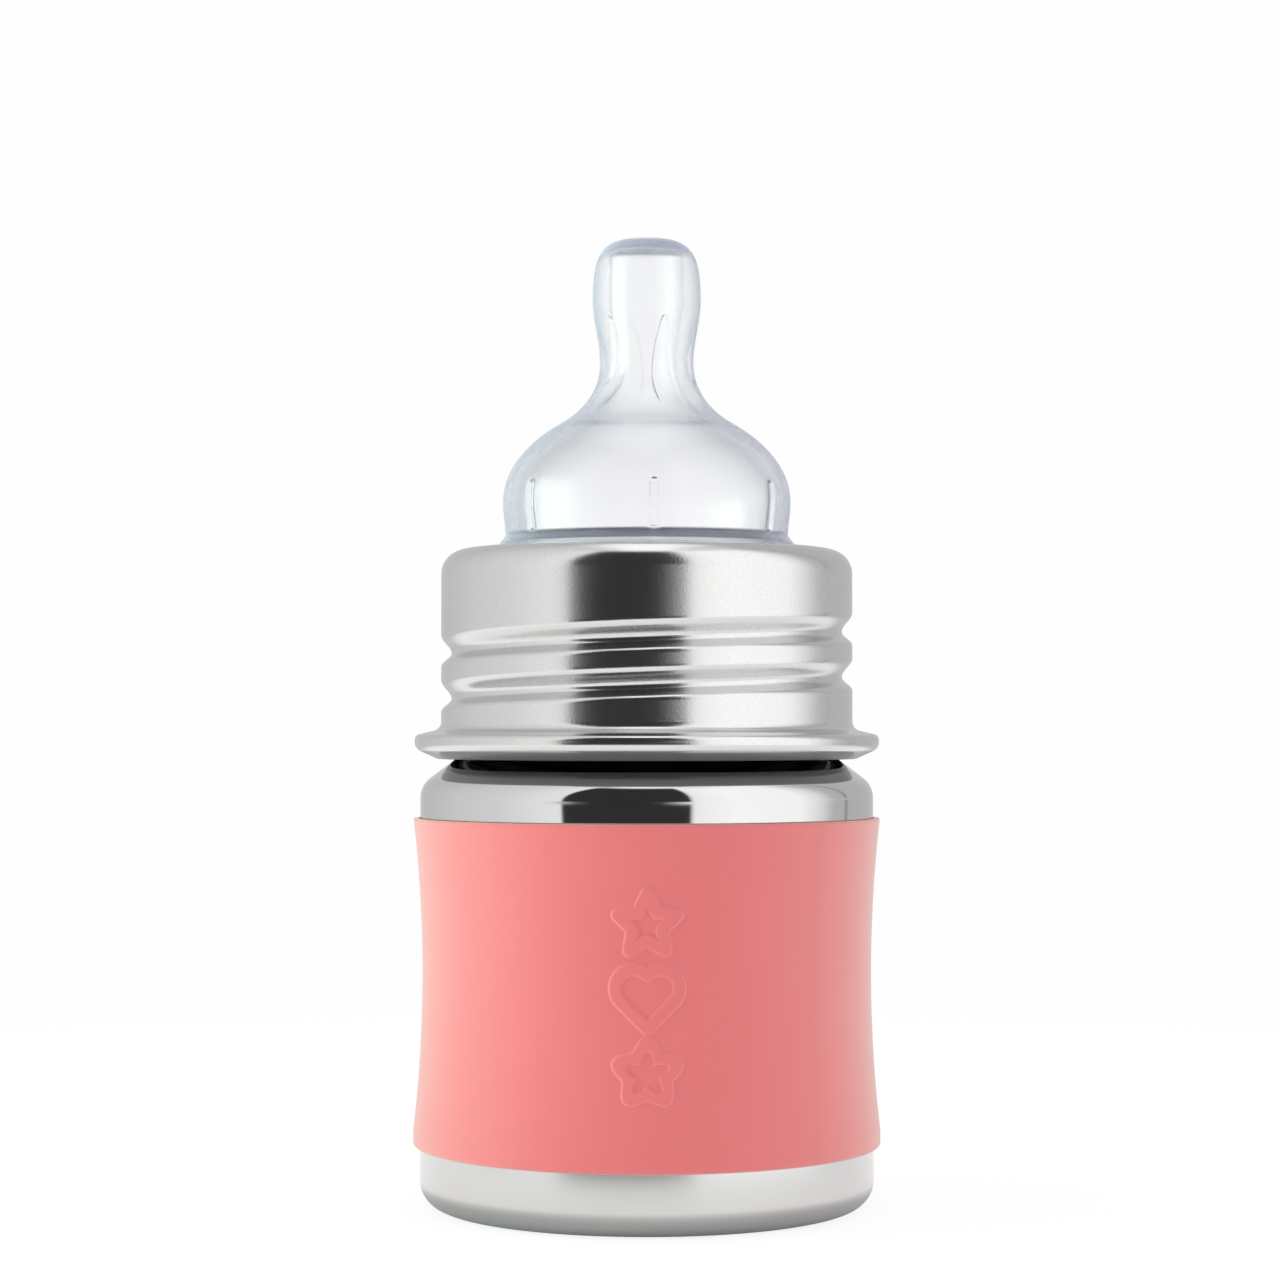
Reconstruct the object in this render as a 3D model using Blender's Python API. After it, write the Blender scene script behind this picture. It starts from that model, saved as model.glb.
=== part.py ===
"""Stainless steel baby bottle with a screw collar, a soft silicone nipple and a silicone grip sleeve.

The bottle stands on its foot ring at z = 0, upright along +Z, centred on the Z axis.
Every piece is turned about Z: an outline of (radius, height) points is spun, and then
pressed where a thread, a groove or a rib departs from the round.
"""

import bisect
import math

import bmesh
import bpy

mm = 0.001

# Fits between pieces
CONTACT_GAP = 0.3 * mm  # left where one piece rests on or is welded to another
SLEEVE_GAP = 0.2 * mm  # between the sleeve and the steel that it grips
THREAD_CLEARANCE = 0.55 * mm  # from the neck thread's crest to the collar's wall
GROOVE_CLEARANCE = 0.45 * mm  # from the collar thread's crest to the neck's wall
FLANK_CLEARANCE = 0.43 * mm  # between the two threads, measured along the axis
FLANGE_CLEARANCE = 0.15 * mm  # between the nipple's flange and the collar thread that it passes

# Bottle, drawn from steel sheet
SHEET = 0.6 * mm
NECK_RADIUS = 25.2 * mm
NECK_LENGTH = 24.4 * mm
NECK_ROUND = 1.5 * mm
RIM_CURL = 0.9 * mm  # outer radius of the rim's inward roll
SHOULDER_WIDTH = 4.9 * mm  # from the neck's wall out to the body's
SHOULDER_RISE = 3.7 * mm
SHOULDER_ROUND = 1.3 * mm
BODY_HEIGHT = 55.7 * mm  # where the wall would meet the sloping shoulder
UPPER_BAND = 4.5 * mm  # the straight stretch above the waist
LOWER_BAND = 10.2 * mm  # the straight stretch below the waist, foot included
WAIST_DEPTH = 2.0 * mm
FOOT_ROUND = 3.6 * mm
FOOT_RING_WIDTH = 2.2 * mm  # the flat ring that the bottle stands on
FOOT_LIP_HEIGHT = 2.4 * mm  # the turned-up edge inside the ring

# Base plate, welded inside the foot ring
BASE_DOME = 1.0 * mm
BASE_RECESS = 1.2 * mm
BASE_MARGIN = 3.0 * mm  # the flat edge outside the domed middle

# Right-handed rolled thread, one start
THREAD_PITCH = 6.0 * mm
THREAD_TURNS = 1.75
THREAD_HEIGHT = 1.05 * mm
THREAD_WIDTH = 3.2 * mm
THREAD_BELOW_RIM = 15.9 * mm  # from the rim down to where the thread starts
THREAD_START_ANGLE = math.radians(135)
THREAD_FADE = math.radians(30)  # each end runs out over this angle
GROOVE_WIDTH = 5.2 * mm  # of the groove in the collar's wall that makes its thread
FLANK_SHARE = 0.36  # where the two flanks meet, as a share of each thread's half width

# Collar, pressed from the same sheet
COLLAR_DROP = 0.2 * mm  # how far the collar's hem reaches below the neck's foot
COLLAR_TOP_ROUND = 3.2 * mm
COLLAR_HOLE_RADIUS = 19.0 * mm
BEAD_HEIGHT = 3.3 * mm
BEAD_REACH = 3.5 * mm  # how far the rolled bead stands out from the collar's wall
BEAD_TURN_ROUND = 1.4 * mm  # where the wall turns out into the bead

# Nipple, one silicone moulding
FLANGE_THICKNESS = 2.0 * mm
FLANGE_EDGE_ROUND = 1.2 * mm
LIP_OVERLAP = 0.7 * mm  # how far the snap lip covers the collar's hole
LIP_HEIGHT = 1.9 * mm
LIP_EDGE = 0.4 * mm  # the upright rim of the lip, below its slope
NIPPLE_WALL = 1.7 * mm
TEAT_WALL = 2.3 * mm
TIP_THICKNESS = 1.9 * mm
FLOW_HOLE_RADIUS = 0.4 * mm
DOME_FOOT_INSET = 0.15 * mm  # from the collar's hole in to the foot of the dome
DOME_BULGE = 0.35 * mm  # from the foot of the dome out to its widest place
THROAT_RADIUS = 11.55 * mm
TEAT_NECK_RADIUS = 6.25 * mm
TEAT_BULB_RADIUS = 7.24 * mm
# Heights above the collar's top
DOME_RISE = 6.5 * mm
THROAT_RISE = 16.9 * mm
TEAT_NECK_RISE = 25.1 * mm
TEAT_BULB_RISE = 33.6 * mm
TIP_RISE = 41.8 * mm
THROAT_SLOPE = (-0.87, 0.49)  # the way the wall runs where the dome turns into the teat

# Ribs inside the nipple, which keep it from collapsing
DOME_RIBS = 6
DOME_RIB_HALF_ANGLE = math.radians(5.0)
DOME_RIB_DEPTH = 0.9 * mm
DOME_RIB_BOTTOM_RISE = 2.6 * mm
DOME_RIB_TOP_RISE = 9.4 * mm
DOME_RIB_TURN = math.radians(3.0)
TEAT_RIBS = 4
TEAT_RIB_HALF_ANGLE = math.radians(17.0)
TEAT_RIB_DEPTH = 0.6 * mm
TEAT_RIB_BOTTOM_RISE = 21.5 * mm
TEAT_RIB_TOP_RISE = 31.0 * mm
RIB_RAMP = 1.5 * mm  # the sloping end of a rib

# Grip sleeve, silicone
SLEEVE_PAST_WAIST = 0.2 * mm  # above the waist
SLEEVE_BELOW_WAIST = 2.0 * mm
SLEEVE_EDGE_WALL = 0.7 * mm
SLEEVE_MIDDLE_WALL = 1.5 * mm
SLEEVE_TOP_ROUND = 0.25 * mm
SLEEVE_BOTTOM_ROUND = 0.5 * mm

# Places that follow from the sizes above
BODY_RADIUS = NECK_RADIUS + SHOULDER_WIDTH
NECK_FOOT = BODY_HEIGHT + SHOULDER_RISE
RIM_HEIGHT = NECK_FOOT + NECK_LENGTH
WAIST_BOTTOM = LOWER_BAND
WAIST_TOP = BODY_HEIGHT - UPPER_BAND
FOOT_RING_OUTER = BODY_RADIUS - FOOT_ROUND
FOOT_RING_INNER = FOOT_RING_OUTER - FOOT_RING_WIDTH
BASE_PLATE_RADIUS = FOOT_RING_INNER - CONTACT_GAP
FLANGE_BOTTOM = RIM_HEIGHT + CONTACT_GAP
FLANGE_TOP = FLANGE_BOTTOM + FLANGE_THICKNESS
COLLAR_TOP = FLANGE_TOP + CONTACT_GAP + SHEET
COLLAR_BOTTOM = NECK_FOOT - COLLAR_DROP
COLLAR_INNER_RADIUS = NECK_RADIUS + THREAD_HEIGHT + THREAD_CLEARANCE
COLLAR_OUTER_RADIUS = COLLAR_INNER_RADIUS + SHEET
GROOVE_DEPTH = THREAD_HEIGHT + THREAD_CLEARANCE - GROOVE_CLEARANCE
BEAD_RADIUS = COLLAR_OUTER_RADIUS + BEAD_REACH
FLANGE_RADIUS = NECK_RADIUS + GROOVE_CLEARANCE - FLANGE_CLEARANCE
DOME_FOOT_RADIUS = COLLAR_HOLE_RADIUS - DOME_FOOT_INSET
DOME_RADIUS = DOME_FOOT_RADIUS + DOME_BULGE
THREAD_START_HEIGHT = RIM_HEIGHT - THREAD_BELOW_RIM
THREAD_LENGTH = THREAD_PITCH * THREAD_TURNS
THREAD_SEAT = FLANK_SHARE * (THREAD_WIDTH + GROOVE_WIDTH) / 2 + FLANK_CLEARANCE
SLEEVE_TOP = WAIST_TOP + SLEEVE_PAST_WAIST
SLEEVE_BOTTOM = WAIST_BOTTOM - SLEEVE_BELOW_WAIST

# Fineness of the model
COLUMNS = 36
NIPPLE_COLUMNS = 42
ARC_STEPS = 3
CURVE_STEPS = 4
WAIST_STEPS = 8
RIB_ROW = 1.6 * mm
THREAD_ROW = 1.1 * mm


def lerp(start, end, share):
    """The value that lies this share of the way from start to end."""
    return start + (end - start) * share


def arc(centre, radius, start, sweep, steps):
    """Points along an arc, both ends included."""
    angles = [start + sweep * k / steps for k in range(steps + 1)]
    return [(centre[0] + radius * math.cos(a), centre[1] + radius * math.sin(a)) for a in angles]


def rounded(corners):
    """A polyline through (radius, height, fillet) corners, each fillet drawn as an arc."""
    line = []
    for i, (r, z, fillet) in enumerate(corners):
        if fillet == 0:
            line.append((r, z))
            continue
        before, after = corners[i - 1], corners[i + 1]
        back = math.atan2(before[1] - z, before[0] - r)
        ahead = math.atan2(after[1] - z, after[0] - r)
        turn = (ahead - back + math.pi) % math.tau - math.pi
        to_centre = fillet / abs(math.sin(turn / 2))
        middle = back + turn / 2
        centre = (r + to_centre * math.cos(middle), z + to_centre * math.sin(middle))
        start = back - math.copysign(math.pi / 2, turn)
        sweep = math.copysign(math.pi - abs(turn), -turn)
        line += arc(centre, fillet, start, sweep, ARC_STEPS)
    return line


def offset(line, distance):
    """The polyline moved to its left by a distance, mitred at each corner."""
    moved = []
    for i, (r, z) in enumerate(line):
        normals = []
        for a, b in ((i - 1, i), (i, i + 1)):
            if a < 0 or b >= len(line):
                continue
            dr = line[b][0] - line[a][0]
            dz = line[b][1] - line[a][1]
            length = math.hypot(dr, dz)
            normals.append((-dz / length, dr / length))
        nr = sum(n[0] for n in normals) / len(normals)
        nz = sum(n[1] for n in normals) / len(normals)
        size = nr * nr + nz * nz
        moved.append((r + distance * nr / size, z + distance * nz / size))
    return moved


def refined(line, low, high, row):
    """The polyline with extra points between two heights, no further apart than row."""
    made = [line[0]]
    for (r0, z0), (r1, z1) in zip(line, line[1:]):
        if abs(z1 - z0) > row:
            pieces = math.ceil(abs(z1 - z0) / row)
            shares = [k / pieces for k in range(1, pieces)]
            made += [(lerp(r0, r1, t), lerp(z0, z1, t)) for t in shares if low < lerp(z0, z1, t) < high]
        made.append((r1, z1))
    return made


def bezier(p0, p1, p2, p3):
    """Points along a cubic curve, its first point left out."""
    line = []
    for step in range(1, CURVE_STEPS + 1):
        t = step / CURVE_STEPS
        weights = ((1 - t) ** 3, 3 * t * (1 - t) ** 2, 3 * t * t * (1 - t), t**3)
        line.append(tuple(sum(w * p[k] for w, p in zip(weights, (p0, p1, p2, p3))) for k in (0, 1)))
    return line


def finish(name, colour, roughness, metallic=0.0, alpha=1.0):
    material = bpy.data.materials.new(name)
    material.use_nodes = True
    shader = material.node_tree.nodes["Principled BSDF"]
    shader.inputs["Base Color"].default_value = (*colour, 1.0)
    shader.inputs["Roughness"].default_value = roughness
    shader.inputs["Metallic"].default_value = metallic
    shader.inputs["Alpha"].default_value = alpha
    return material


def turned(name, outline, columns, material, parent, press=None):
    """A solid of revolution about Z. press moves each (angle, radius, height) after the spin."""
    shape = bmesh.new()
    points = [shape.verts.new((r, 0, z)) for r, z in outline]
    edges = [shape.edges.new(pair) for pair in zip(points, points[1:])]
    if outline[0][0] > 0:
        edges.append(shape.edges.new((points[-1], points[0])))
    bmesh.ops.spin(
        shape,
        geom=points + edges,
        cent=(0, 0, 0),
        axis=(0, 0, 1),
        angle=math.tau,
        steps=columns,
        use_merge=True,
    )
    bmesh.ops.remove_doubles(shape, verts=shape.verts, dist=0.001 * mm)
    if press:
        for vert in shape.verts:
            angle = math.atan2(vert.co.y, vert.co.x) % math.tau
            radius = math.hypot(vert.co.x, vert.co.y)
            angle, radius = press(angle, radius, vert.co.z)
            vert.co = (radius * math.cos(angle), radius * math.sin(angle), vert.co.z)
    bmesh.ops.recalc_face_normals(shape, faces=shape.faces)
    mesh = bpy.data.meshes.new(name)
    shape.to_mesh(mesh)
    shape.free()
    mesh.materials.append(material)
    mesh.shade_smooth()
    mesh.set_sharp_from_angle(angle=math.radians(35))
    piece = bpy.data.objects.new(name, mesh)
    piece.parent = parent
    bpy.context.scene.collection.objects.link(piece)
    return piece


def empty(name):
    axis = bpy.data.objects.new(name, None)
    bpy.context.scene.collection.objects.link(axis)
    return axis


def helix_ridge(angle, z, lowered, width):
    """1 on the crest of the thread's helix and 0 off it, fading at the thread's two ends."""
    start = THREAD_START_HEIGHT - lowered
    total = math.tau * THREAD_TURNS
    height = 0.0
    first = (angle - THREAD_START_ANGLE) % math.tau
    for turn in range(math.ceil(THREAD_TURNS) + 1):
        along = first + math.tau * turn
        if along > total:
            break
        crest = start + THREAD_PITCH * along / math.tau
        away = abs(z - crest) / (width / 2)
        if away >= 1:
            continue
        fade = min(1.0, along / THREAD_FADE, (total - along) / THREAD_FADE)
        height = max(height, fade * (1 + math.cos(math.pi * away)) / 2)
    return height


def waist(z):
    """How far in the body is drawn at a height, as a share of the waist's depth."""
    middle = (WAIST_TOP + WAIST_BOTTOM) / 2
    half = (WAIST_TOP - WAIST_BOTTOM) / 2
    return max(0.0, 1 - ((z - middle) / half) ** 2)


def body_radius(z):
    return BODY_RADIUS - WAIST_DEPTH * waist(z)


def waist_line(radius_at):
    """Points up the waisted stretch of a wall, whose radius depends on the height."""
    heights = [lerp(WAIST_BOTTOM, WAIST_TOP, k / WAIST_STEPS) for k in range(WAIST_STEPS + 1)]
    return [(radius_at(z), z) for z in heights]


def bottle_shell(material, parent):
    """The drawn body with its waist, sloping shoulder, threaded neck and inward rolled rim."""
    foot = rounded(
        [
            (FOOT_RING_INNER, FOOT_LIP_HEIGHT, 0),
            (FOOT_RING_INNER, 0, 0),
            (BODY_RADIUS, 0, FOOT_ROUND),
            (BODY_RADIUS, WAIST_BOTTOM, 0),
        ]
    )
    wall = waist_line(body_radius)
    top = rounded(
        [
            (BODY_RADIUS, WAIST_TOP, 0),
            (BODY_RADIUS, BODY_HEIGHT, SHOULDER_ROUND),
            (NECK_RADIUS, NECK_FOOT, NECK_ROUND),
            (NECK_RADIUS, RIM_HEIGHT - 2 * RIM_CURL, 0),
        ]
    )
    rim_centre = (NECK_RADIUS - RIM_CURL, RIM_HEIGHT - RIM_CURL)
    rim = arc(rim_centre, RIM_CURL, 0, math.pi, 2 * ARC_STEPS)
    low = THREAD_START_HEIGHT - THREAD_WIDTH / 2
    high = THREAD_START_HEIGHT + THREAD_LENGTH + THREAD_WIDTH / 2
    outside = refined(foot[:-1] + wall[:-1] + top + rim, low, high, THREAD_ROW)
    outline = outside + offset(outside, SHEET)[::-1]

    def roll_thread(angle, radius, z):
        if z < NECK_FOOT:
            return angle, radius
        return angle, radius + THREAD_HEIGHT * helix_ridge(angle, z, 0, THREAD_WIDTH)

    return turned("bottle_shell", outline, COLUMNS, material, parent, roll_thread)


def base_plate(material, parent):
    """The pressed disc that is welded inside the foot ring, its middle domed upwards."""
    flat_radius = BASE_PLATE_RADIUS - BASE_MARGIN
    under = [
        (0, BASE_RECESS + BASE_DOME),
        (flat_radius / 2, BASE_RECESS + BASE_DOME * 0.75),
        (flat_radius, BASE_RECESS),
        (BASE_PLATE_RADIUS, BASE_RECESS),
    ]
    over = [(r, z + SHEET) for r, z in reversed(under)]
    return turned("base_plate", under + over, COLUMNS, material, parent)


def collar(material, parent):
    """The pressed cap ring: a holed top, a grooved wall that makes the thread, and a rolled bead.

    At the foot the wall turns outwards, rolls down and comes back in underneath.
    """
    bead_round = BEAD_HEIGHT / 2
    bead_centre = (BEAD_RADIUS - bead_round, COLLAR_BOTTOM + bead_round)
    roll = arc(bead_centre, bead_round, -math.pi / 2, math.pi, 2 * ARC_STEPS)
    hem = (COLLAR_INNER_RADIUS + CONTACT_GAP, COLLAR_BOTTOM)
    wall = rounded(
        [
            (roll[-1][0], roll[-1][1], 0),
            (COLLAR_OUTER_RADIUS, COLLAR_BOTTOM + BEAD_HEIGHT, BEAD_TURN_ROUND),
            (COLLAR_OUTER_RADIUS, COLLAR_TOP, COLLAR_TOP_ROUND),
            (COLLAR_HOLE_RADIUS, COLLAR_TOP, 0),
        ]
    )
    low = THREAD_START_HEIGHT - THREAD_SEAT - GROOVE_WIDTH / 2
    high = low + THREAD_LENGTH + GROOVE_WIDTH
    outside = refined([hem] + roll + wall[1:], low, high, THREAD_ROW)
    outline = outside + offset(outside, SHEET)[::-1]

    def press_groove(angle, radius, z):
        if z < COLLAR_BOTTOM + BEAD_HEIGHT:
            return angle, radius
        ridge = helix_ridge(angle, z, THREAD_SEAT, GROOVE_WIDTH)
        return angle, radius - GROOVE_DEPTH * ridge

    return turned("collar", outline, COLUMNS, material, parent, press_groove)


def nipple_wall(inwards, teat_inwards, tip_drop, end_radius):
    """The dome, throat, teat and tip, moved inwards from the outside face, from the foot up."""
    in_run, up_run = THROAT_SLOPE
    dome = (DOME_RADIUS - inwards, COLLAR_TOP + DOME_RISE)
    throat = (THROAT_RADIUS - inwards * up_run, COLLAR_TOP + THROAT_RISE + inwards * in_run)
    neck = (TEAT_NECK_RADIUS - teat_inwards, COLLAR_TOP + TEAT_NECK_RISE)
    bulb = (TEAT_BULB_RADIUS - teat_inwards, COLLAR_TOP + TEAT_BULB_RISE)
    tip = (end_radius, COLLAR_TOP + TIP_RISE - tip_drop)
    # Each curve's handles are a share of the step that the curve makes.
    dome_pull = 0.47 * (throat[1] - dome[1])
    throat_in = 0.45 * (dome[0] - throat[0]) / in_run
    throat_out = 0.50 * (neck[0] - throat[0]) / in_run
    neck_pull = 0.48 * (neck[1] - throat[1])
    bulb_pull = 0.35 * (bulb[1] - neck[1])
    tip_pull = 0.82 * (tip[1] - bulb[1])
    line = [(DOME_FOOT_RADIUS - inwards, COLLAR_TOP + LIP_HEIGHT), dome]
    line += bezier(
        dome,
        (dome[0], dome[1] + dome_pull),
        (throat[0] + throat_in * in_run, throat[1] + throat_in * up_run),
        throat,
    )
    line += bezier(
        throat,
        (throat[0] + throat_out * in_run, throat[1] + throat_out * up_run),
        (neck[0], neck[1] - neck_pull),
        neck,
    )
    line += bezier(neck, (neck[0], neck[1] + bulb_pull), (bulb[0], bulb[1] - bulb_pull), bulb)
    line += bezier(bulb, (bulb[0], bulb[1] + tip_pull), (0.8 * bulb[0], tip[1]), tip)
    return line


def nipple(material, parent):
    """The silicone nipple: sealing flange, snap groove and lip, ribbed dome, teat and flow hole."""
    groove_radius = COLLAR_HOLE_RADIUS - CONTACT_GAP
    lip_bottom = COLLAR_TOP + CONTACT_GAP
    lip_radius = COLLAR_HOLE_RADIUS + LIP_OVERLAP
    bore_radius = DOME_FOOT_RADIUS - NIPPLE_WALL
    seat = rounded(
        [
            (bore_radius, FLANGE_BOTTOM, 0),
            (FLANGE_RADIUS, FLANGE_BOTTOM, 0),
            (FLANGE_RADIUS, FLANGE_TOP, FLANGE_EDGE_ROUND),
            (groove_radius, FLANGE_TOP, 0),
            (groove_radius, lip_bottom, 0),
            (lip_radius, lip_bottom, 0),
            (lip_radius, lip_bottom + LIP_EDGE, 0),
        ]
    )
    outside = nipple_wall(0, 0, 0, FLOW_HOLE_RADIUS)
    cavity = nipple_wall(NIPPLE_WALL, TEAT_WALL, TIP_THICKNESS, FLOW_HOLE_RADIUS)
    rib_low = COLLAR_TOP + DOME_RIB_BOTTOM_RISE
    rib_high = COLLAR_TOP + DOME_RIB_TOP_RISE
    cavity = refined(cavity, rib_low, rib_high, RIB_ROW)
    outline = seat + outside + cavity[::-1]
    sector = math.tau / DOME_RIBS
    outside_at = sorted((z, r) for r, z in outside)
    heights = [z for z, _ in outside_at]

    def is_inner_face(radius, z):
        at = min(max(bisect.bisect(heights, z), 1), len(heights) - 1)
        (z0, r0), (z1, r1) = outside_at[at - 1], outside_at[at]
        skin = lerp(r0, r1, (z - z0) / (z1 - z0)) if z1 > z0 else r0
        return FLOW_HOLE_RADIUS * 2 < radius < skin - NIPPLE_WALL / 3

    def window(z, low_rise, high_rise):
        """1 between two heights above the collar, with sloping ends."""
        low = (z - COLLAR_TOP - low_rise) / RIB_RAMP
        high = (COLLAR_TOP + high_rise - z) / RIB_RAMP
        return max(0.0, min(1.0, low, high))

    def press_ribs(angle, radius, z):
        place = (angle / sector) % 1
        whole = angle - place * sector
        off = place - round(place)
        # Columns are drawn together around each dome rib.
        off = math.copysign(0.5 * (2 * abs(off)) ** 1.5, off)
        angle = whole + (round(place) + off) * sector
        if is_inner_face(radius, z):
            away = abs(off) * sector / DOME_RIB_HALF_ANGLE
            dome_rib = max(0.0, 1 - away) * window(z, DOME_RIB_BOTTOM_RISE, DOME_RIB_TOP_RISE)
            quarter = math.tau / TEAT_RIBS
            across = ((angle - sector / 2) / quarter) % 1
            away = min(across, 1 - across) * quarter / TEAT_RIB_HALF_ANGLE
            teat_rib = max(0.0, 1 - away) * window(z, TEAT_RIB_BOTTOM_RISE, TEAT_RIB_TOP_RISE)
            radius -= DOME_RIB_DEPTH * dome_rib + TEAT_RIB_DEPTH * teat_rib
        return angle + DOME_RIB_TURN, radius

    return turned("nipple", outline, NIPPLE_COLUMNS, material, parent, press_ribs)


def sleeve(material, parent):
    """The grip sleeve, which sits in the body's waist and flares to a thin edge at each end."""

    def inner_at(z):
        return body_radius(z) + SLEEVE_GAP

    def outer_at(z):
        return inner_at(z) + lerp(SLEEVE_EDGE_WALL, SLEEVE_MIDDLE_WALL, waist(z))

    inside = [(inner_at(SLEEVE_TOP), SLEEVE_TOP)]
    inside += waist_line(inner_at)[::-1]
    inside += [(inner_at(SLEEVE_BOTTOM), SLEEVE_BOTTOM)]
    outside = [(outer_at(SLEEVE_BOTTOM) - SLEEVE_BOTTOM_ROUND, SLEEVE_BOTTOM)]
    outside += [(outer_at(SLEEVE_BOTTOM), SLEEVE_BOTTOM + SLEEVE_BOTTOM_ROUND)]
    outside += waist_line(outer_at)
    outside += [(outer_at(SLEEVE_TOP) - SLEEVE_TOP_ROUND, SLEEVE_TOP)]
    return turned("sleeve", inside + outside, COLUMNS, material, parent)


def main():
    for old in list(bpy.data.objects):
        bpy.data.objects.remove(old, do_unlink=True)

    satin_steel = finish("satin_steel", (0.72, 0.72, 0.72), 0.28, metallic=1.0)
    polished_steel = finish("polished_steel", (0.78, 0.78, 0.78), 0.12, metallic=1.0)
    clear_silicone = finish("clear_silicone", (0.90, 0.93, 0.96), 0.15, alpha=0.5)
    coral_silicone = finish("coral_silicone", (0.75, 0.19, 0.20), 0.55)

    bottle_axis = empty("bottle_axis")
    collar_axis = empty("collar_axis")
    nipple_axis = empty("nipple_axis")
    sleeve_axis = empty("sleeve_axis")

    bottle_shell(polished_steel, bottle_axis)
    base_plate(satin_steel, bottle_axis)
    collar(satin_steel, collar_axis)
    nipple(clear_silicone, nipple_axis)
    sleeve(coral_silicone, sleeve_axis)


main()
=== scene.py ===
"""Looks of a small steel baby bottle: its fine surfaces, its steel and silicone, and the studio.

Every surface is worked out as an array of points: an outline of (radius, height) pairs is
carried round the upright axis, and a thread, a rib or a raised figure moves the points in or
out along the radius. Lengths are in metres, and angles are in radians unless a name says degrees.
"""

import math

import bpy
import numpy as np
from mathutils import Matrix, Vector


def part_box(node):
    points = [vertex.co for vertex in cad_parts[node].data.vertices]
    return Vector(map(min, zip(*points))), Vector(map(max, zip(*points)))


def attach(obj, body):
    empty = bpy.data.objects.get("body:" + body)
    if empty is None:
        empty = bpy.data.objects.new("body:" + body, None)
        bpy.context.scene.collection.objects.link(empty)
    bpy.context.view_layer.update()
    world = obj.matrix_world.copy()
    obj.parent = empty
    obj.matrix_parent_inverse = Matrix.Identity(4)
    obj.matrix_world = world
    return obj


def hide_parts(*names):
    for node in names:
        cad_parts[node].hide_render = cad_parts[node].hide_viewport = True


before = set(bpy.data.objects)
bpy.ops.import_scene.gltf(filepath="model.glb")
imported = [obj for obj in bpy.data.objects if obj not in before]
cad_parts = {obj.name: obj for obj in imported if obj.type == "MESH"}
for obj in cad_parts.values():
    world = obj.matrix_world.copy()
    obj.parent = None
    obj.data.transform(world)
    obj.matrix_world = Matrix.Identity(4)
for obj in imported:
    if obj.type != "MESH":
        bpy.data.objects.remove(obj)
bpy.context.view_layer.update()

mm = 0.001

# Sizes that the frame gives
SHELL_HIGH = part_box("bottle_shell")[1]
PLATE_LOW, PLATE_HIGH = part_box("base_plate")
COLLAR_LOW, COLLAR_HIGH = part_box("collar")
NIPPLE_LOW, NIPPLE_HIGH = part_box("nipple")
SLEEVE_LOW, SLEEVE_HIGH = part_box("sleeve")
BODY_RADIUS = SHELL_HIGH.x
RIM_HEIGHT = SHELL_HIGH.z
PLATE_RADIUS = PLATE_HIGH.x
COLLAR_TOP = COLLAR_HIGH.z
COLLAR_BOTTOM = COLLAR_LOW.z
BEAD_RADIUS = COLLAR_HIGH.x
FLANGE_BOTTOM = NIPPLE_LOW.z
FLANGE_RADIUS = NIPPLE_HIGH.x
TIP_HEIGHT = NIPPLE_HIGH.z

# Steel bottle
SHEET = 0.6 * mm
NECK_RADIUS = BODY_RADIUS - 4.9 * mm
NECK_FOOT = RIM_HEIGHT - 24.4 * mm
NECK_ROUND = 1.5 * mm
RIM_CURL = 0.9 * mm
SHOULDER_CORNER = NECK_FOOT - 3.7 * mm
SHOULDER_ROUND = 3.2 * mm
WAIST_DEPTH = 2.0 * mm
WAIST_BOTTOM = 10.2 * mm
WAIST_TOP = SHOULDER_CORNER - 4.5 * mm
FOOT_ROUND = 3.6 * mm
FOOT_RING_INNER = PLATE_RADIUS + 0.3 * mm
FOOT_RING_ROUND = 0.8 * mm
FOOT_LIP_TOP = 2.4 * mm

# Base plate and its weld
PLATE_MARGIN = 3.0 * mm
PLATE_RING_RADIUS = 0.62 * PLATE_RADIUS
PLATE_RING_DEPTH = 0.25 * mm
PLATE_RING_WIDTH = 0.7 * mm
WELD_HEIGHT = PLATE_LOW.z + 0.1 * mm
WELD_GAP = 0.15 * mm
WELD_BEAD = 0.34 * mm
WELD_FLATNESS = 0.6
WELD_RIPPLES = 180
WELD_RIPPLE = 0.12

# Threads, right-handed
THREAD_PITCH = 6.0 * mm
THREAD_TURNS = 1.75
THREAD_START = RIM_HEIGHT - 15.45 * mm
THREAD_START_ANGLE = math.radians(135)
THREAD_FADE = math.radians(50)
NECK_THREAD_HEIGHT = 1.0 * mm
NECK_THREAD_FLANK = 1.6 * mm
GROOVE_DROP = 1.94 * mm
GROOVE_DEPTH = 1.4 * mm
GROOVE_UPPER_FLANK = 2.5 * mm
GROOVE_LOWER_FLANK = 1.8 * mm

# Collar
COLLAR_RADIUS = NECK_RADIUS + 2.2 * mm
COLLAR_HOLE = 19.0 * mm
COLLAR_TOP_ROUND = 3.2 * mm
FLARE_TOP = COLLAR_BOTTOM + 4.0 * mm
TIP_ROUND_ABOVE = 0.8 * mm
TIP_ROUND_BELOW = 1.35 * mm
TIP_TOP = COLLAR_BOTTOM + 3.15 * mm
TIP_BOTTOM = COLLAR_BOTTOM + 1.4 * mm
FLARE_ROUND = 1.2 * mm
UNDERSIDE_RADIUS = 27.8 * mm
UNDERSIDE_ROUND = 0.8 * mm
HEM_RADIUS = 27.0 * mm
HEM_HEIGHT = COLLAR_BOTTOM + 0.15 * mm

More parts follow.
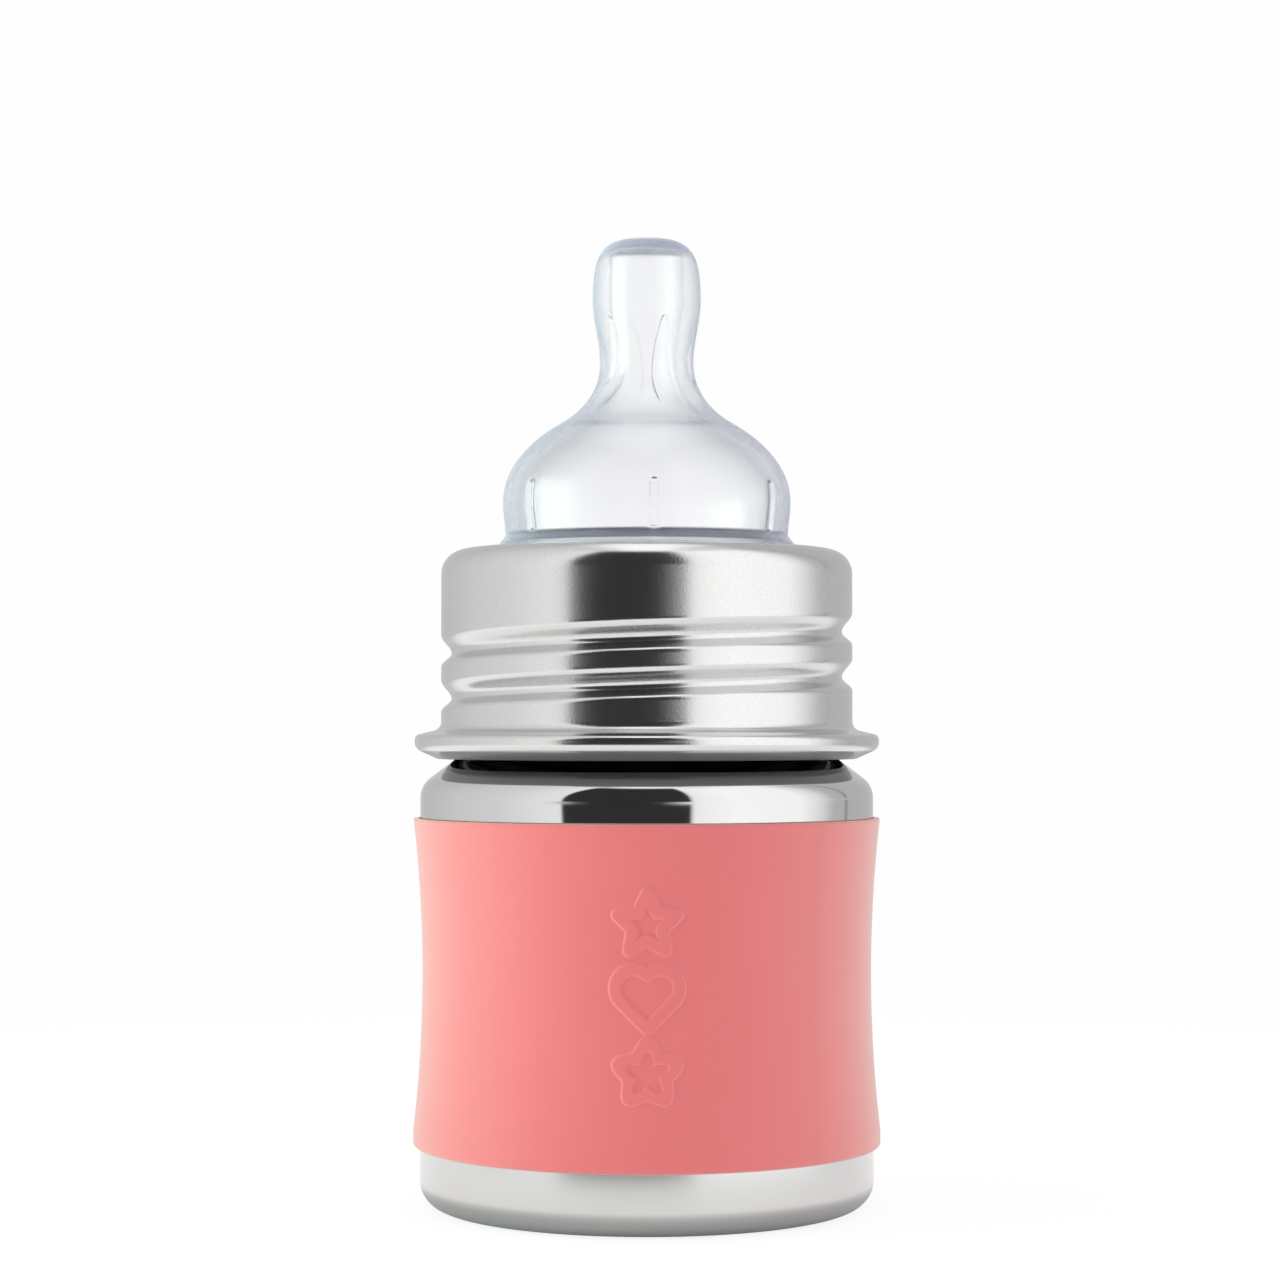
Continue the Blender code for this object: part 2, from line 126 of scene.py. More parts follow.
# Nipple. The feet and tops of its ribs are heights above the collar's top.
NIPPLE_WALL = 1.7 * mm
TEAT_WALL = 2.3 * mm
TIP_WALL = 2.0 * mm
FLOW_HOLE = 0.4 * mm
FLANGE_ROUND = 1.2 * mm
GRIP_GAP = 0.3 * mm
LIP_RADIUS = COLLAR_HOLE + 0.7 * mm
LIP_HEIGHT = 0.5 * mm
LIP_ROUND = 0.3 * mm
DOME_FOOT = (COLLAR_HOLE - 0.15 * mm, COLLAR_TOP + 1.9 * mm)
DOME_WIDEST = (COLLAR_HOLE + 0.2 * mm, COLLAR_TOP + 6.5 * mm)
THROAT = (11.55 * mm, COLLAR_TOP + 16.9 * mm)
THROAT_SLOPE = (-0.87, 0.49)
TEAT_NECK = (6.25 * mm, COLLAR_TOP + 25.1 * mm)
TEAT_BULB = (7.24 * mm, COLLAR_TOP + 33.6 * mm)
CAVITY_ROUND = 1.3 * mm
DOME_RIBS = 6
DOME_RIB_ANGLE = math.radians(33)
DOME_RIB_DEPTH = 0.5 * mm
DOME_RIB_FOOT = 2.0 * mm
DOME_RIB_TOP = 8.6 * mm
TEAT_RIBS = 4
TEAT_RIB_ANGLE = math.radians(-62)
TEAT_RIB_DEPTH = 0.4 * mm
TEAT_RIB_FOOT = 17.0 * mm
TEAT_RIB_TOP = 31.2 * mm

# Grip sleeve and its raised figures
SLEEVE_GAP = 0.2 * mm
SLEEVE_EDGE_WALL = 0.7 * mm
SLEEVE_MIDDLE_WALL = 1.5 * mm
SLEEVE_INNER_ROUND = 0.2 * mm
SLEEVE_BOTTOM_ROUND = 0.45 * mm
SLEEVE_TOP_ROUND = 0.25 * mm
FIGURE_SIZE = 3.9 * mm
FIGURE_STEP = 9.2 * mm
FIGURE_HALF_LINE = 0.62 * mm
FIGURE_RAISE = 0.28 * mm
FIGURE_SLOPE = 0.32 * mm
FIGURE_HALF_WIDTH = 6.2 * mm
FRONT_DEGREES = -90
FIGURE_ARC_DEGREES = 12


def polar(centre, radius, start, stop, count):
    """Points on an arc: centre plus radius times the cosine and sine of evenly spaced degrees."""
    turn = np.radians(np.linspace(start, stop, count))
    return np.stack([centre[0] + radius * np.cos(turn), centre[1] + radius * np.sin(turn)], axis=1)


def curve(p0, p1, p2, p3, count):
    """A cubic curve: the four points weighted by the terms of ((1 - t) + t) cubed."""
    t = np.linspace(0, 1, count)[:, None]
    weights = ((1 - t) ** 3, 3 * t * (1 - t) ** 2, 3 * t**2 * (1 - t), t**3)
    return sum(w * np.array(p) for w, p in zip(weights, (p0, p1, p2, p3)))


def corner(before, at, after, radius, count=9):
    """The arc of a radius that is tangent to the two lines that meet at a corner."""
    at = np.array(at)
    back = (np.array(before) - at) / np.linalg.norm(np.array(before) - at)
    ahead = (np.array(after) - at) / np.linalg.norm(np.array(after) - at)
    half = np.arccos(np.clip(back @ ahead, -1, 1)) / 2
    centre = at + (back + ahead) / np.linalg.norm(back + ahead) * radius / math.sin(half)
    first = at + back * radius / math.tan(half) - centre
    last = at + ahead * radius / math.tan(half) - centre
    start = math.degrees(math.atan2(first[1], first[0]))
    sweep = math.degrees(math.atan2(first[0] * last[1] - first[1] * last[0], first @ last))
    return polar(centre, radius, start, start + sweep, count)


def joined(*parts):
    """The parts one after another, without points that repeat the one before."""
    points = np.concatenate([np.atleast_2d(part) for part in parts])
    step = np.linalg.norm(np.diff(points, axis=0), axis=1)
    return points[np.concatenate([[True], step > 1e-7])]


def filled_in(points, spacing):
    """The outline with each long step cut into equal shorter ones, none longer than spacing."""
    step = np.linalg.norm(np.diff(points, axis=0), axis=1)
    cuts = np.maximum(1, np.ceil(step / spacing)).astype(int)
    parts = [np.linspace(a, b, n, endpoint=False) for a, b, n in zip(points[:-1], points[1:], cuts)]
    return np.concatenate(parts + [points[-1:]])


def walled(points, thickness):
    """A closed outline: the points, then the same points moved to their left, coming back."""
    along = np.gradient(points, axis=0)
    along /= np.linalg.norm(along, axis=1)[:, None]
    left = np.stack([-along[:, 1], along[:, 0]], axis=1)
    return np.concatenate([points, (points + thickness * left)[::-1]])


def smooth(low, high, value):
    """0 below low, 1 above high, and 3 t squared less 2 t cubed between them."""
    t = np.clip((value - low) / (high - low), 0, 1)
    return t * t * (3 - 2 * t)


def grid_piece(name, points):
    """A mesh from rows of points round the axis. Each four neighbours make a face, and the
    last row joins the first."""
    rows, columns = points.shape[:2]
    index = np.arange(rows * columns).reshape(rows, columns)
    upper = np.roll(index, -1, axis=0)
    faces = np.stack([index, np.roll(index, -1, 1), np.roll(upper, -1, 1), upper], axis=-1)
    mesh = bpy.data.meshes.new(name)
    mesh.from_pydata(points.reshape(-1, 3), [], faces.reshape(-1, 4))
    mesh.shade_smooth()
    mesh.set_sharp_from_angle(angle=math.radians(50))
    piece = bpy.data.objects.new(name, mesh)
    bpy.context.scene.collection.objects.link(piece)
    return piece


def carried_round(outline, angles, press=None):
    """The outline at every angle: radius times cosine and sine, and height. press moves radii."""
    radius = np.repeat(outline[:, :1], len(angles), axis=1)
    height = np.repeat(outline[:, 1:], len(angles), axis=1)
    around = np.repeat(angles[None, :], len(outline), axis=0)
    if press:
        radius = press(radius, height, around)
    return np.stack([radius * np.cos(around), radius * np.sin(around), height], axis=-1)


def even_angles(count):
    """Angles evenly spaced round a full turn."""
    return np.arange(count) * math.tau / count


def helix_ridge(height, around, drop, above, below):
    """How high the thread stands, from 0 to 1: half of one plus the cosine of the distance
    to the helix, whose height grows by one pitch a turn, fading in and out at its ends.
    The flank above the crest and the one below it have widths of their own."""
    first = (around - THREAD_START_ANGLE) % math.tau
    whole = THREAD_TURNS * math.tau
    ridge = np.zeros_like(height)
    for turn in range(math.ceil(THREAD_TURNS) + 1):
        along = first + turn * math.tau
        crest = THREAD_START - drop + THREAD_PITCH * along / math.tau
        away = np.where(height > crest, (height - crest) / above, (crest - height) / below)
        away = np.clip(away, 0, 1)
        fade = smooth(0, THREAD_FADE, along) * smooth(0, THREAD_FADE, whole - along)
        ridge = np.maximum(ridge, fade * (1 + np.cos(math.pi * away)) / 2)
    return ridge


def waist(height):
    """How far the body is drawn in, from 0 to 1: one less the square of the way to either end."""
    middle = (WAIST_TOP + WAIST_BOTTOM) / 2
    half = (WAIST_TOP - WAIST_BOTTOM) / 2
    return np.clip(1 - ((height - middle) / half) ** 2, 0, 1)


def waist_wall(offset, count):
    """The waisted stretch of a wall: the body's radius less the waist, plus an offset."""
    height = np.linspace(WAIST_BOTTOM, WAIST_TOP, count)
    return np.stack([BODY_RADIUS - WAIST_DEPTH * waist(height) + offset, height], axis=1)


def make_shell():
    """The bottle: foot ring, waisted body, sloping shoulder, threaded neck and rolled rim."""
    ring = (FOOT_RING_INNER, 0)
    foot = (BODY_RADIUS, 0)
    lip = (FOOT_RING_INNER, FOOT_LIP_TOP)
    shoulder = (BODY_RADIUS, SHOULDER_CORNER)
    neck = (NECK_RADIUS, NECK_FOOT)
    rim_centre = (NECK_RADIUS - RIM_CURL, RIM_HEIGHT - RIM_CURL)
    outline = joined(
        lip,
        corner(lip, ring, foot, FOOT_RING_ROUND),
        corner(ring, foot, shoulder, FOOT_ROUND, 17),
        waist_wall(0, 25),
        corner(foot, shoulder, neck, SHOULDER_ROUND, 11),
        corner(shoulder, neck, (NECK_RADIUS, RIM_HEIGHT), NECK_ROUND),
        polar(rim_centre, RIM_CURL, 0, 200, 17),
    )
    on_neck = outline[:, 1] >= NECK_FOOT
    outline = np.concatenate([outline[~on_neck], filled_in(outline[on_neck], 0.3 * mm)])

    def roll_thread(radius, height, around):
        ridge = helix_ridge(height, around, 0, NECK_THREAD_FLANK, NECK_THREAD_FLANK)
        return radius + NECK_THREAD_HEIGHT * ridge * (height > NECK_FOOT)

    points = carried_round(walled(outline, SHEET), even_angles(288), roll_thread)
    return grid_piece("steel_bottle", points)


def make_plate():
    """The base: a shallow dome in a flat margin, with a pressed ring between them."""
    radius = np.linspace(0, PLATE_RADIUS, 90)
    dome_edge = PLATE_RADIUS - PLATE_MARGIN
    rise = (PLATE_HIGH.z - PLATE_LOW.z - SHEET) * (1 - np.clip(radius / dome_edge, 0, 1) ** 2)
    ring = PLATE_RING_DEPTH * np.exp(-(((radius - PLATE_RING_RADIUS) / PLATE_RING_WIDTH) ** 2))
    under = np.stack([radius, PLATE_LOW.z + rise - ring], axis=1)
    over = under[::-1] + np.array([0, SHEET])
    points = carried_round(np.concatenate([under, over]), even_angles(192))
    return grid_piece("pressed_base", points)


def make_weld():
    """The weld round the base: a thin ring whose width ripples as the bead was laid."""
    section = polar((0, 0), 1, -180, 150, 12)
    angles = even_angles(720)
    bead = WELD_BEAD * (1 + WELD_RIPPLE * np.sin(angles * WELD_RIPPLES))[None, :]
    radius = PLATE_RADIUS + WELD_GAP + section[:, :1] * bead
    height = WELD_HEIGHT + section[:, 1:] * bead * WELD_FLATNESS
    points = np.stack([radius * np.cos(angles), radius * np.sin(angles), height], axis=-1)
    return grid_piece("base_weld", points)


def make_collar():
    """The screw ring: rolled bead, grooved wall, rounded edge and the nipple's hole."""
    hem = (HEM_RADIUS, HEM_HEIGHT)
    underside = (UNDERSIDE_RADIUS, COLLAR_BOTTOM)
    tip_low = (BEAD_RADIUS, TIP_BOTTOM)
    tip_high = (BEAD_RADIUS, TIP_TOP)
    turn = (COLLAR_RADIUS, FLARE_TOP)
    edge = (COLLAR_RADIUS, COLLAR_TOP)
    hole = (COLLAR_HOLE, COLLAR_TOP)
    outline = joined(
        hem,
        corner(hem, underside, tip_low, UNDERSIDE_ROUND, 7),
        corner(underside, tip_low, tip_high, TIP_ROUND_BELOW, 13),
        corner(tip_low, tip_high, turn, TIP_ROUND_ABOVE, 13),
        corner(tip_high, turn, edge, FLARE_ROUND, 13),
        corner(turn, edge, hole, COLLAR_TOP_ROUND, 21),
        hole,
    )
    wall_start = int(np.argmax(outline[:, 1] > FLARE_TOP + 0.4 * FLARE_ROUND))
    outline = np.concatenate([outline[:wall_start], filled_in(outline[wall_start:], 0.22 * mm)])

    def press_groove(radius, height, around):
        ridge = helix_ridge(height, around, GROOVE_DROP, GROOVE_UPPER_FLANK, GROOVE_LOWER_FLANK)
        return radius - GROOVE_DEPTH * ridge * (height > FLARE_TOP)

    points = carried_round(walled(outline, SHEET), even_angles(320), press_groove)
    return grid_piece("screw_collar", points)


def moved_in(point, inset):
    """The point moved towards the axis."""
    return (point[0] - inset, point[1])


def teat_outline(inset, teat_inset):
    """The dome, the throat and the teat from the dome's foot up to the bulb, moved in by an
    inset that is one value in the dome and another in the teat. The throat moves in square
    to its slope."""
    foot = moved_in(DOME_FOOT, inset)
    dome = moved_in(DOME_WIDEST, inset)
    neck = moved_in(TEAT_NECK, teat_inset)
    bulb = moved_in(TEAT_BULB, teat_inset)
    slope = np.array(THROAT_SLOPE)
    throat = np.array(THROAT) + inset * np.array([-slope[1], slope[0]])
    into_throat = throat - slope * 0.45 * (dome[0] - throat[0]) / -slope[0]
    out_of_throat = throat + slope * 0.50 * (throat[0] - neck[0]) / -slope[0]
    above_dome = (dome[0], dome[1] + 0.47 * (throat[1] - dome[1]))
    below_neck = (neck[0], neck[1] - 0.48 * (neck[1] - throat[1]))
    parts = [
        foot,
        curve(foot, (foot[0], foot[1] + 1.5 * mm), (dome[0], dome[1] - 2 * mm), dome, 12),
        curve(dome, above_dome, into_throat, throat, 24),
        curve(throat, out_of_throat, below_neck, neck, 24),
        curve(neck, (neck[0], neck[1] + 3 * mm), (bulb[0], bulb[1] - 3 * mm), bulb, 20),
    ]
    return parts, bulb


def off_rib(radius, around, ribs, first_angle):
    """The distance round the wall to the nearest of some evenly spaced ribs."""
    turn = (around - first_angle) % (math.tau / ribs)
    return np.minimum(turn, math.tau / ribs - turn) * radius


def press_ribs(radius, height, around):
    """How far the ribs stand in from the wall: bars in the dome, and in the teat leaf shapes
    that narrow upwards with the square root of the way to their tip."""
    rise = height - COLLAR_TOP
    away = off_rib(radius, around, DOME_RIBS, DOME_RIB_ANGLE)
    dome_rib = 1 - smooth(0.25 * mm, 0.8 * mm, away)
    dome_rib *= smooth(DOME_RIB_FOOT, DOME_RIB_FOOT + 0.5 * mm, rise)
    dome_rib *= 1 - smooth(DOME_RIB_TOP - 0.6 * mm, DOME_RIB_TOP, rise)
    away = off_rib(radius, around, TEAT_RIBS, TEAT_RIB_ANGLE)
    to_tip = np.clip((TEAT_RIB_TOP - rise) / (10 * mm), 0, 1)
    half_width = 0.15 * mm + 1.5 * mm * np.sqrt(to_tip)
    teat_rib = 1 - smooth(half_width - 0.25 * mm, half_width, away)
    teat_rib *= smooth(TEAT_RIB_FOOT, TEAT_RIB_FOOT + 6 * mm, rise)
    teat_rib *= 1 - smooth(TEAT_RIB_TOP - 0.3 * mm, TEAT_RIB_TOP, rise)
    return DOME_RIB_DEPTH * dome_rib + TEAT_RIB_DEPTH * teat_rib


def make_nipple():
    """The silicone nipple: flange, snap groove, lip, dome and teat, with ribs inside."""
    bore = DOME_FOOT[0] - NIPPLE_WALL
    flange_top = COLLAR_TOP - SHEET - GRIP_GAP
    groove = COLLAR_HOLE - GRIP_GAP
    lip_bottom = COLLAR_TOP + GRIP_GAP
    lip_top = (LIP_RADIUS, lip_bottom + LIP_HEIGHT)
    flange_low = (FLANGE_RADIUS, FLANGE_BOTTOM)
    flange_high = (FLANGE_RADIUS, flange_top)
    outer, bulb = teat_outline(0, 0)
    tip = (FLOW_HOLE, TIP_HEIGHT)
    cap = curve(bulb, (bulb[0], bulb[1] + 6.7 * mm), (0.8 * bulb[0], tip[1]), tip, 28)
    inner, inner_bulb = teat_outline(NIPPLE_WALL, TEAT_WALL)
    inner_tip = (FLOW_HOLE, TIP_HEIGHT - TIP_WALL)
    cavity_corner = (inner_bulb[0], inner_tip[1])
    ceiling = corner(inner_bulb, cavity_corner, inner_tip, CAVITY_ROUND, 13)
    inside = filled_in(joined(*inner, ceiling, inner_tip), 0.35 * mm)[::-1]
    outline = joined(
        (bore, FLANGE_BOTTOM),
        flange_low,
        corner(flange_low, flange_high, (groove, flange_top), FLANGE_ROUND),
        (groove, flange_top),
        (groove, lip_bottom),
        (LIP_RADIUS, lip_bottom),
        corner((LIP_RADIUS, lip_bottom), lip_top, DOME_FOOT, LIP_ROUND, 5),
        *outer,
        cap,
        inside,
    )
    inner_rows = np.arange(len(outline)) >= len(outline) - len(inside)

    def press_inside(radius, height, around):
        return radius - inner_rows[:, None] * press_ribs(radius, height, around)

    points = carried_round(outline, even_angles(480), press_inside)
    return grid_piece("silicone_nipple", points)


def star_distance(x, y):
    """Distance to a five-pointed star of unit size: the plane is folded about the
    star's mirror lines until one edge is left, and the distance is taken to that edge."""
    k1 = np.array([math.cos(math.radians(36)), -math.sin(math.radians(36))])
    k2 = np.array([-k1[0], k1[1]])
    x = np.abs(x)
    for fold in (k1, k2):
        over = 2 * np.maximum(fold[0] * x + fold[1] * y, 0)
        x = x - over * fold[0]
        y = y - over * fold[1]
    x = np.abs(x)
    y = y - 1
    side = 0.5 * np.array([-k1[1], k1[0]]) - np.array([0, 1])
    share = np.clip((x * side[0] + y * side[1]) / (side @ side), 0, 1)
    sign = np.sign(y * side[0] - x * side[1])
    return np.hypot(x - side[0] * share, y - side[1] * share) * sign


def heart_distance(x, y):
    """Distance to a heart of unit size: a quarter circle above, straight sides below."""
    scale = 0.58
    x = np.abs(x) * scale
    y = (y + 0.95) * scale
    lobe = np.hypot(x - 0.25, y - 0.75) - math.sqrt(2) / 4
    top = x * x + (y - 1) ** 2
    middle = 0.5 * np.maximum(x + y, 0)
    side = np.sqrt(np.minimum(top, (x - middle) ** 2 + (y - middle) ** 2)) * np.sign(x - y)
    return np.where(y + x > 1, lobe, side) / scale


def flower_distance(x, y):
    """Distance to five round petals: the radius swings with the cosine of five times the angle."""
    angle = np.arctan2(x, y)
    edge = 0.78 + 0.17 * np.cos(5 * angle)
    return (np.hypot(x, y) - edge) * 0.85


def figure_height(x, height):
    """How far the raised lines stand, from 0 to 1: full within half a line of a figure's edge."""
    middle = (SLEEVE_LOW.z + SLEEVE_HIGH.z) / 2
    raised = np.zeros_like(x)
    for place, distance in ((1, star_distance), (0, heart_distance), (-1, flower_distance)):
        y = (height - middle - place * FIGURE_STEP) / FIGURE_SIZE
        gap = np.abs(distance(x / FIGURE_SIZE, y)) * FIGURE_SIZE - FIGURE_HALF_LINE
        raised = np.maximum(raised, 1 - smooth(0, FIGURE_SLOPE, gap))
    return raised


def make_sleeve():
    """The grip sleeve: thin at its flared edges, thicker in the waist, with raised figures.
    Its columns lie closer together in front, where the figures are."""
    bottom = SLEEVE_LOW.z
    top = SLEEVE_HIGH.z
    inner = BODY_RADIUS + SLEEVE_GAP
    outer = inner + SLEEVE_EDGE_WALL
    height = np.linspace(WAIST_BOTTOM, WAIST_TOP, 300)
    wall = SLEEVE_EDGE_WALL + (SLEEVE_MIDDLE_WALL - SLEEVE_EDGE_WALL) * waist(height)
    face = np.stack([inner - WAIST_DEPTH * waist(height) + wall, height], axis=1)
    outline = joined(
        (inner, top),
        waist_wall(SLEEVE_GAP, 25)[::-1],
        corner((inner, top), (inner, bottom), (outer, bottom), SLEEVE_INNER_ROUND, 3),
        corner((inner, bottom), (outer, bottom), (outer, top), SLEEVE_BOTTOM_ROUND),
        face,
        corner((outer, bottom), (outer, top), (inner, top), SLEEVE_TOP_ROUND, 7),
    )
    start = FRONT_DEGREES - FIGURE_ARC_DEGREES
    stop = FRONT_DEGREES + FIGURE_ARC_DEGREES
    front = np.radians(np.linspace(start, stop, 150))
    rest = np.radians(np.linspace(stop, start + 360, 170))[1:-1]

    def raise_figures(radius, height, around):
        x = BODY_RADIUS * (around - math.radians(FRONT_DEGREES))
        outside = radius > BODY_RADIUS - WAIST_DEPTH * waist(height) + 0.5 * mm
        in_front = np.abs(x) < FIGURE_HALF_WIDTH
        return radius + FIGURE_RAISE * figure_height(x, height) * outside * in_front

    points = carried_round(outline, np.concatenate([front, rest]), raise_figures)
    return grid_piece("grip_sleeve", points)


class Wire:
    """A node's output that takes part in Python sums, each of which adds a Math node."""

    def __init__(self, tree, socket):
        self.tree = tree
        self.socket = socket

    def out(self, name):
        """Another output of the same node."""
        return Wire(self.tree, self.socket.node.outputs[name])

    def math(self, operation, *values):
        return self.tree.node("Math", {"operation": operation}, dict(enumerate(values)))

    def __add__(self, other):
        return self.math("ADD", self, other)

    def __radd__(self, other):
        return self.math("ADD", other, self)

    def __sub__(self, other):
        return self.math("SUBTRACT", self, other)

    def __rsub__(self, other):
        return self.math("SUBTRACT", other, self)

    def __mul__(self, other):
        return self.math("MULTIPLY", self, other)

    def __rmul__(self, other):
        return self.math("MULTIPLY", other, self)

    def __truediv__(self, other):
        return self.math("DIVIDE", self, other)

    def between(self, low, high, softness):
        """1 between two values and 0 outside them, with soft ends."""
        rise = self.step(low - softness, low + softness)
        return rise * (1 - self.step(high - softness, high + softness))

    def kept_in(self):
        """The value, kept from 0 to 1."""
        return self.tree.node("Clamp", {}, {"Value": self})

    def step(self, low, high):
        """0 below low, 1 above high, smooth between."""
        settings = {"interpolation_type": "SMOOTHSTEP"}
        sockets = {"Value": self, "From Min": low, "From Max": high}
        return self.tree.node("MapRange", settings, sockets)


class Nodes:
    """The node tree of a material or a world."""

    def __init__(self, owner):
        owner.use_nodes = True
        self.tree = owner.node_tree
        self.tree.nodes.clear()

    def node(self, kind, settings=None, sockets=None, output=0):
        """Adds a node. Its settings are set first, then its sockets' values or links."""
        made = self.tree.nodes.new("ShaderNode" + kind)
        for name, value in (settings or {}).items():
            if name == "stops":
                self.set_stops(made.color_ramp, value)
            else:
                setattr(made, name, value)
        for name, value in (sockets or {}).items():
            socket = made.inputs[name]
            if isinstance(value, Wire):
                self.tree.links.new(value.socket, socket)
            else:
                socket.default_value = value
        return Wire(self, made.outputs[output]) if made.outputs else None

    def set_stops(self, ramp, stops):
        """Gives a colour ramp its (place, grey) stops."""
        while len(ramp.elements) < len(stops):
            ramp.elements.new(1.0)
        for element, (place, grey) in zip(ramp.elements, stops):
            element.position = place
            element.color = (grey, grey, grey, 1)

    def place(self, scale=(1, 1, 1)):
        """The point on the piece, in its own metres, times a scale."""
        point = self.node("TexCoord", output="Object")
        return self.node("Mapping", {}, {"Vector": point, "Scale": scale})

    def noise(self, scale, detail, stretch=(1, 1, 1)):
        """Noise whose blobs are about one over scale metres across."""
        sockets = {"Vector": self.place(stretch), "Scale": scale, "Detail": detail}
        return self.node("TexNoise", {}, sockets)

    def height(self):
        """The height above the bottle's foot, which every piece shares as its origin."""
        return self.node("SeparateXYZ", {}, {0: self.place()}, "Z")

    def flat(self):
        """The way out from the axis: the point with its height left out."""
        return self.node("VectorMath", {"operation": "MULTIPLY"}, {0: self.place(), 1: (1, 1, 0)})

    def mix(self, factor, first, second):
        """The first colour at 0 and the second at 1. A colour is three numbers or a wire."""
        ends = [c if isinstance(c, Wire) else (*c, 1) for c in (first, second)]
        sockets = {"Factor": factor, "A": ends[0], "B": ends[1]}
        return self.node("Mix", {"data_type": "RGBA"}, sockets, "Result")

    def bump(self, height, distance):
        """A normal for a surface that stands out by a height, from 0 to 1, times a distance."""
        return self.node("Bump", {}, {"Height": height, "Distance": distance, "Strength": 1.0})


def finish_material(name, sockets, vary):
    """A Principled material. vary adds the nodes that change over the surface."""
    material = bpy.data.materials.new(name)
    nodes = Nodes(material)
    shader = nodes.node("BsdfPrincipled", {}, {**sockets, **vary(nodes)})
    nodes.node("OutputMaterial", {}, {"Surface": shader})
    return material


def polished_steel():
    """Mirror-polished sheet, with faint lines from the polishing wheel running round it, and
    a satin band round its foot."""

    def vary(nodes):
        lines = nodes.noise(3000, 3.0, (0.01, 0.01, 1))
        smears = nodes.noise(90, 3.0)
        foot = 1 - nodes.height().step(WAIST_BOTTOM, WAIST_BOTTOM + 2 * mm)
        return {
            "Roughness": 0.035 + 0.03 * lines + 0.03 * smears + 0.15 * foot,
            "Normal": nodes.bump(lines, 0.0000006),
        }

    sockets = {"Base Color": (0.64, 0.64, 0.635, 1), "Metallic": 1.0}
    return finish_material("polished_steel", sockets, vary)


def satin_steel():
    """Satin sheet: a fine even grain that softens what it reflects. Faces turned in and faces
    turned down carry painted shade: they are coloured dark grey and made mostly non-metallic.
    """

    def vary(nodes):
        grain = nodes.noise(3600, 2.0)
        lines = nodes.noise(2600, 2.0, (0.02, 0.02, 1))
        cloud = nodes.noise(120, 2.0)
        facing = nodes.node("TexCoord", output="Normal")
        product = {"operation": "DOT_PRODUCT"}
        outward = nodes.node("VectorMath", product, {0: nodes.flat(), 1: facing}, "Value")
        upward = nodes.node("SeparateXYZ", {}, {0: facing}, "Z")
        # Painted shade: faces turned towards the axis and faces turned down are coloured dark grey
        # and made mostly non-metallic, standing in for the shade under the collar's bead.
        inner = 1 - outward.step(-4 * mm, -1 * mm)
        under = 1 - upward.step(-0.92, -0.75)
        painted_shade = inner.math("MAXIMUM", inner, under)
        bright = nodes.mix(grain, (0.60, 0.60, 0.595), (0.72, 0.72, 0.715))
        return {
            "Base Color": nodes.mix(painted_shade, bright, (0.16, 0.16, 0.16)),
            "Metallic": 1 - 0.85 * painted_shade,
            "Roughness": 0.13 + 0.06 * grain + 0.03 * cloud,
            "Normal": nodes.bump(grain * 0.8 + lines * 0.2, 0.000008),
        }

    return finish_material("satin_steel", {}, vary)


def base_steel():
    """The underside's duller sheet, turned with fine rings."""

    def vary(nodes):
        radius = nodes.node("VectorMath", {"operation": "LENGTH"}, {0: nodes.flat()}, "Value")
        sockets = {"W": radius, "Scale": 5000, "Detail": 2.0}
        rings = nodes.node("TexNoise", {"noise_dimensions": "1D"}, sockets)
        return {"Roughness": 0.26 + 0.12 * rings, "Normal": nodes.bump(rings, 0.00001)}

    sockets = {"Base Color": (0.6, 0.6, 0.595, 1), "Metallic": 1.0}
    return finish_material("base_steel", sockets, vary)


def coral_silicone():
    """Matte silicone: a powdery bloom over an even coral, with a very fine moulded grain."""

    def vary(nodes):
        grain = nodes.noise(4200, 3.0)
        cloud = nodes.noise(70, 3.0)
        return {
            "Base Color": nodes.mix(cloud, (0.80, 0.155, 0.165), (0.83, 0.175, 0.18)),
            "Roughness": 0.5 + 0.08 * grain,
            "Normal": nodes.bump(grain, 0.00002),
        }

    sockets = {
        "Sheen Weight": 0.8,
        "Sheen Roughness": 0.6,
        "Sheen Tint": (0.86, 0.98, 0.90, 1),
        "Subsurface Weight": 0.15,
        "Subsurface Radius": (0.0016, 0.0005, 0.0004),
        "Subsurface Scale": 1.0,
        "IOR": 1.42,
        "Specular IOR Level": 0.3,
    }
    return finish_material("coral_silicone", sockets, vary)


def clear_silicone():
    """Cloudy clear silicone: light goes through it, softened, and its edges and thick places
    go over to a pale blue-grey haze."""
    material = bpy.data.materials.new("clear_silicone")
    nodes = Nodes(material)
    grain = nodes.noise(260, 2.0)
    normal = nodes.bump(grain, 0.00002)
    clear = nodes.node("BsdfPrincipled", {}, {
        "Base Color": (0.995, 0.995, 1.0, 1),
        "Roughness": 0.13 + 0.08 * grain,
        "Transmission Weight": 1.0,
        "IOR": 1.41,
        "Normal": normal,
    })
    haze = nodes.node("BsdfPrincipled", {}, {
        "Base Color": (0.54, 0.585, 0.70, 1),
        "Roughness": 0.22 + 0.1 * grain,
        "IOR": 1.41,
        "Normal": normal,
    })
    height = nodes.height()
    thick = height.step(TIP_HEIGHT - 3.2 * mm, TIP_HEIGHT - 1.7 * mm)
    foot = height.step(COLLAR_TOP + 1.2 * mm, COLLAR_TOP + 2.2 * mm)
    facing = nodes.node("LayerWeight", {}, {"Blend": 0.5}, "Facing")
    edge = facing * facing * facing
    cloud = 0.005 + 1.3 * edge + 0.42 * thick + 0.25 * (1 - foot)
    shader = nodes.node("MixShader", {}, {0: cloud.kept_in(), 1: clear, 2: haze})
    absorbing = {"Color": (0.45, 0.54, 0.64, 1), "Density": 14.0}
    volume = nodes.node("VolumeAbsorption", {}, absorbing)
    nodes.node("OutputMaterial", {}, {"Surface": shader, "Volume": volume})
    return material


def dress(piece, node, body, material):
    """Gives a piece its material and its body, and hides the imported part of the node that it
    stands for.
    """
    piece.data.materials.append(material)
    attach(piece, body)
    if node:
        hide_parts(node)


